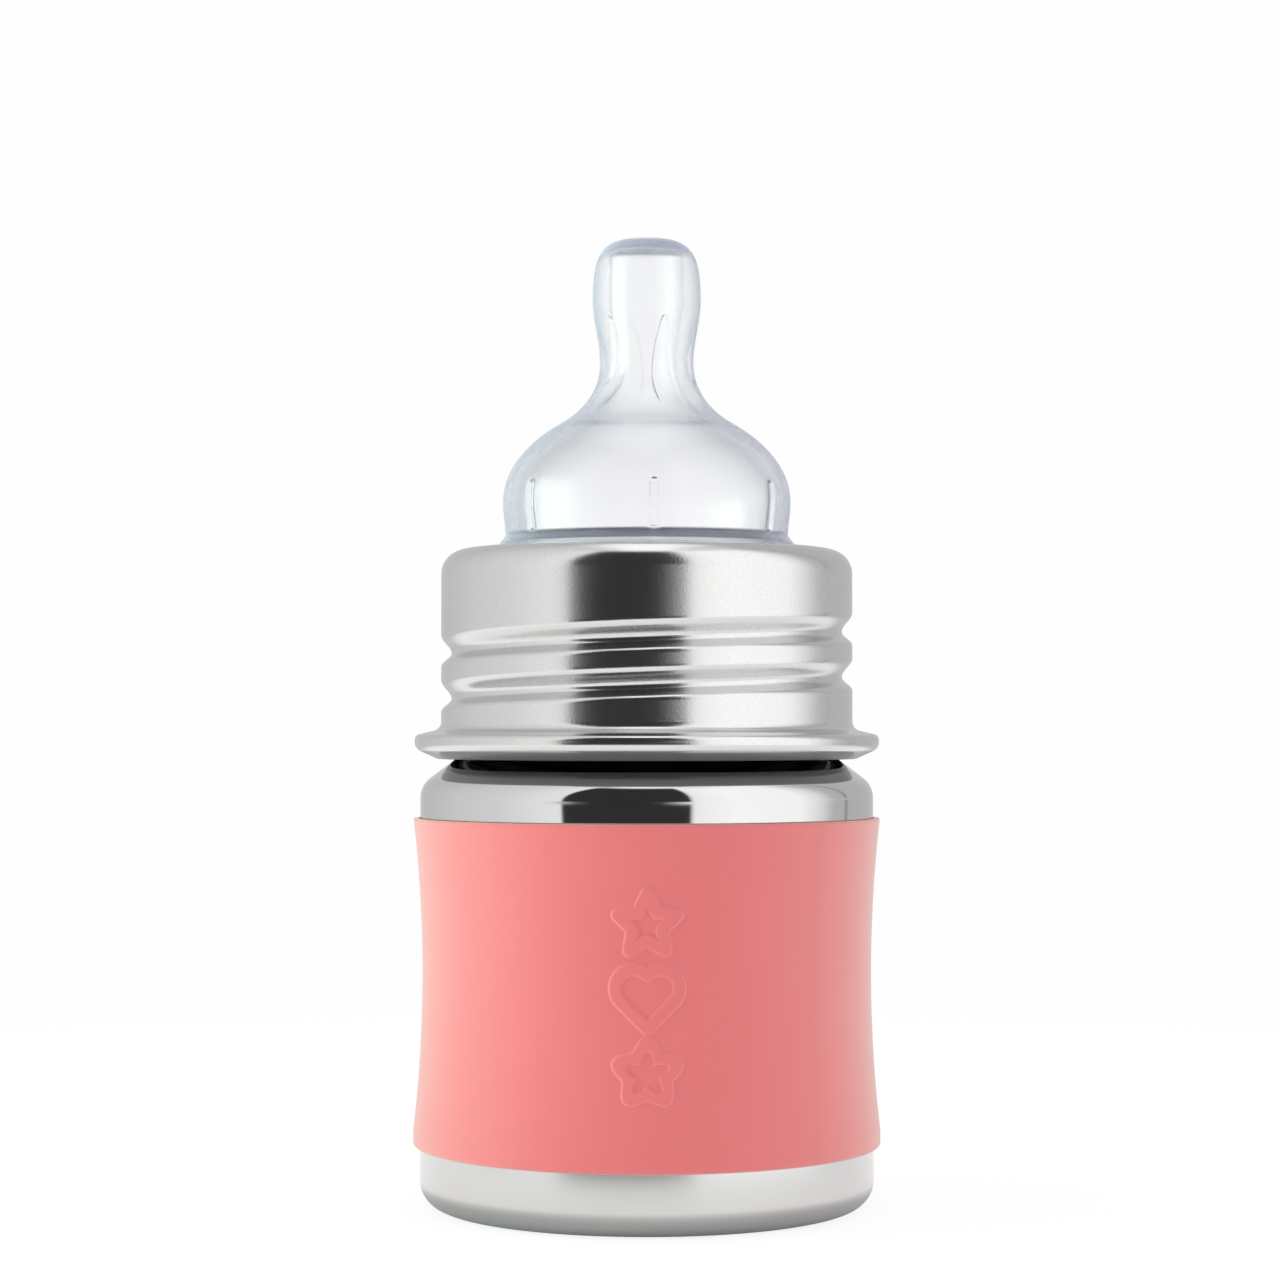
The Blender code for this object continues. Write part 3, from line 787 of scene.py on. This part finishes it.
FLOOR_HALF = 0.5
FLOOR_FADE = (0.13, 0.30)
SEEN_GLOW = ((0, 0.85), (1, 0.85))
# Glow of the floor seen only in reflections, by metres from the middle: dim up to about 40 mm out,
# a painted shadow round the bottle's foot, and brighter beyond.
FLOOR_GLOW_WITH_PAINTED_SHADOW = ((0.030, 0.10), (0.040, 0.60), (0.2, 0.68))


def make_floor(name, height, grey, glow):
    """A round of floor under the bottle that fades out into the pale backdrop, and that isn't
    seen from below. It glows by a colour ramp of (metres from the middle, level)."""
    mesh = bpy.data.meshes.new(name)
    ends = ((-1, -1), (1, -1), (1, 1), (-1, 1))
    corners = [(x * FLOOR_HALF, y * FLOOR_HALF, height) for x, y in ends]
    mesh.from_pydata(corners, [], [(0, 1, 2, 3)])
    floor = bpy.data.objects.new(name, mesh)
    bpy.context.scene.collection.objects.link(floor)

    def fade(nodes):
        distance = nodes.node("VectorMath", {"operation": "LENGTH"}, {0: nodes.place()}, "Value")
        levels = nodes.node("ValToRGB", {"stops": glow}, {"Fac": distance})
        above = 1 - nodes.node("NewGeometry", output="Backfacing")
        return {"Alpha": above * (1 - distance.step(*FLOOR_FADE)), "Emission Color": levels}

    sockets = {
        "Base Color": (grey, grey, grey, 1),
        "Roughness": 0.9,
        "Specular IOR Level": 0.0,
        "Emission Strength": 1.0,
    }
    floor.data.materials.append(finish_material(name, sockets, fade))
    return floor


# Brightness round the studio: (degrees from the front towards the right, level). A dark
# panel stands in front, between two bright ones. Its edges are soft in a belt just over the
# horizon, and crisp below and above.
PANELS = (
    (-180, 0.62), (-150, 0.66), (-110, 0.86), (-80, 0.95), (-50, 1.14), (-43.6, 1.16),
    (-42.4, 0.04), (21.8, 0.04), (22.8, 1.26), (45, 1.42), (84, 1.36), (98, 1.02),
    (108, 0.66), (119, 0.62), (120, 0.12), (121.5, 0.62), (150, 0.60), (180, 0.62),
)
SOFT_PANELS = (
    (-180, 0.62), (-150, 0.66), (-110, 0.86), (-80, 0.95), (-55, 1.14), (-47, 0.98), (-41, 0.5),
    (-35, 0.14), (-27, 0.04), (0, 0.04), (7, 0.08), (12, 0.34), (17, 0.72), (22, 1.08), (28, 1.32),
    (45, 1.42), (84, 1.36), (98, 1.02), (112, 0.66), (150, 0.60), (180, 0.62),
)
PANEL_PEAK = 1.5
HORIZON_BLEND = 0.006
SOFT_BELT_TOP = (0.055, 0.070)
OVERHEAD_FROM = (0.86, 0.96)
OVERHEAD_LEVEL = 0.85
OVERHEAD_MIDDLE = 0.6
GROUND_LEVEL = 1.0
GROUND_FROM = (-0.45, -0.30)
WINDOW_LEVEL = 0.9
BACKDROP_LEVEL = 0.99


def make_studio():
    """Side panels with a dark gap between them at the camera, a bright ceiling and floor, and
    a slit of a window behind. Scattered light grows evenly from the left to the right, and
    the camera sees a plain pale backdrop."""
    world = bpy.data.worlds.new("studio")
    bpy.context.scene.world = world
    nodes = Nodes(world)
    way = nodes.node("TexCoord", output="Generated")
    split = nodes.node("SeparateXYZ", {}, {0: way})
    x, y, z = split.out("X"), split.out("Y"), split.out("Z")
    angle = x.math("ARCTAN2", x, 0 - y) / math.tau + 0.5

    def panels(table):
        stops = [((degrees + 180) / 360, level / PANEL_PEAK) for degrees, level in table]
        return nodes.node("ValToRGB", {"stops": stops}, {"Fac": angle}) * PANEL_PEAK

    def blend(first, second, share):
        return first * (1 - share) + second * share

    belt = z.step(-HORIZON_BLEND, HORIZON_BLEND) * (1 - z.step(*SOFT_BELT_TOP))
    middle = 1 - x.math("ABSOLUTE", x).step(0.08, 0.30)
    overhead = OVERHEAD_LEVEL + OVERHEAD_MIDDLE * middle
    window = y.step(0.5, 0.6) * x.between(-0.055, 0.055, 0.02) * z.between(0.12, 0.65, 0.04)
    studio = blend(panels(PANELS), panels(SOFT_PANELS), belt)
    studio = blend(studio, overhead, z.step(*OVERHEAD_FROM))
    studio = blend(studio, GROUND_LEVEL, 1 - z.step(*GROUND_FROM)) + WINDOW_LEVEL * window
    scattered = 0.76 + 0.24 * x
    path = nodes.node("LightPath", output="Is Camera Ray")
    level = blend(studio, scattered, path.out("Is Diffuse Ray"))
    backdrop = path.math("MAXIMUM", path, path.out("Is Transmission Ray"))
    level = blend(level, BACKDROP_LEVEL, backdrop)
    shine = nodes.node("Background", {}, {"Color": (1, 1, 1, 1), "Strength": level})
    nodes.node("OutputWorld", {}, {"Surface": shine})


def make_lamp(name, place, target, size, power, colour):
    """A square lamp that lights surfaces but isn't seen in their reflections."""
    data = bpy.data.lights.new(name, "AREA")
    data.shape = "SQUARE"
    data.size = size
    data.energy = power
    data.color = colour
    lamp = bpy.data.objects.new(name, data)
    lamp.location = place
    x, y, z = np.array(target) - np.array(place)
    lamp.rotation_euler = (math.atan2(math.hypot(x, y), -z), 0, math.atan2(-x, y))
    lamp.visible_glossy = False
    bpy.context.scene.collection.objects.link(lamp)


# Camera: level with the lower part of the collar, tipped up a little
CAMERA_DISTANCE = 0.4225
CAMERA_HEIGHT = 0.0640
CAMERA_SIDE = -0.0009
CAMERA_TILT_DEGREES = 1.5
CAMERA_LENS = 89.0


def make_camera():
    data = bpy.data.cameras.new("camera")
    data.lens = CAMERA_LENS
    data.sensor_width = 36
    data.clip_start = 0.01
    camera = bpy.data.objects.new("camera", data)
    camera.location = (CAMERA_SIDE, -CAMERA_DISTANCE, CAMERA_HEIGHT)
    camera.rotation_euler = (math.radians(90 + CAMERA_TILT_DEGREES), 0, 0)
    bpy.context.scene.collection.objects.link(camera)
    bpy.context.scene.camera = camera


make_camera()
satin = satin_steel()
dull = base_steel()
dress(make_shell(), "bottle_shell", "bottle", polished_steel())
dress(make_plate(), "base_plate", "bottle", dull)
dress(make_weld(), None, "bottle", dull)
dress(make_collar(), "collar", "collar", satin)
dress(make_nipple(), "nipple", "nipple", clear_silicone())
dress(make_sleeve(), "sleeve", "sleeve", coral_silicone())
seen_floor = make_floor("pale_floor", -0.05 * mm, 0.2, SEEN_GLOW)
seen_floor.visible_glossy = False
seen_floor.visible_diffuse = False
# This floor glows less close to the foot: a painted shadow that the steel reflects.
felt_floor = make_floor("reflected_floor", -0.1 * mm, 0.55, FLOOR_GLOW_WITH_PAINTED_SHADOW)
felt_floor.visible_camera = False
make_studio()
make_lamp(
    "left_lamp",
    place=(-0.62, -0.06, 0.14),
    target=(0, 0, 0.05),
    size=0.5,
    power=3.2,
    colour=(0.78, 1.0, 0.87),
)
bpy.context.scene.view_settings.view_transform = "Standard"
bpy.context.scene.cycles.use_denoising = True
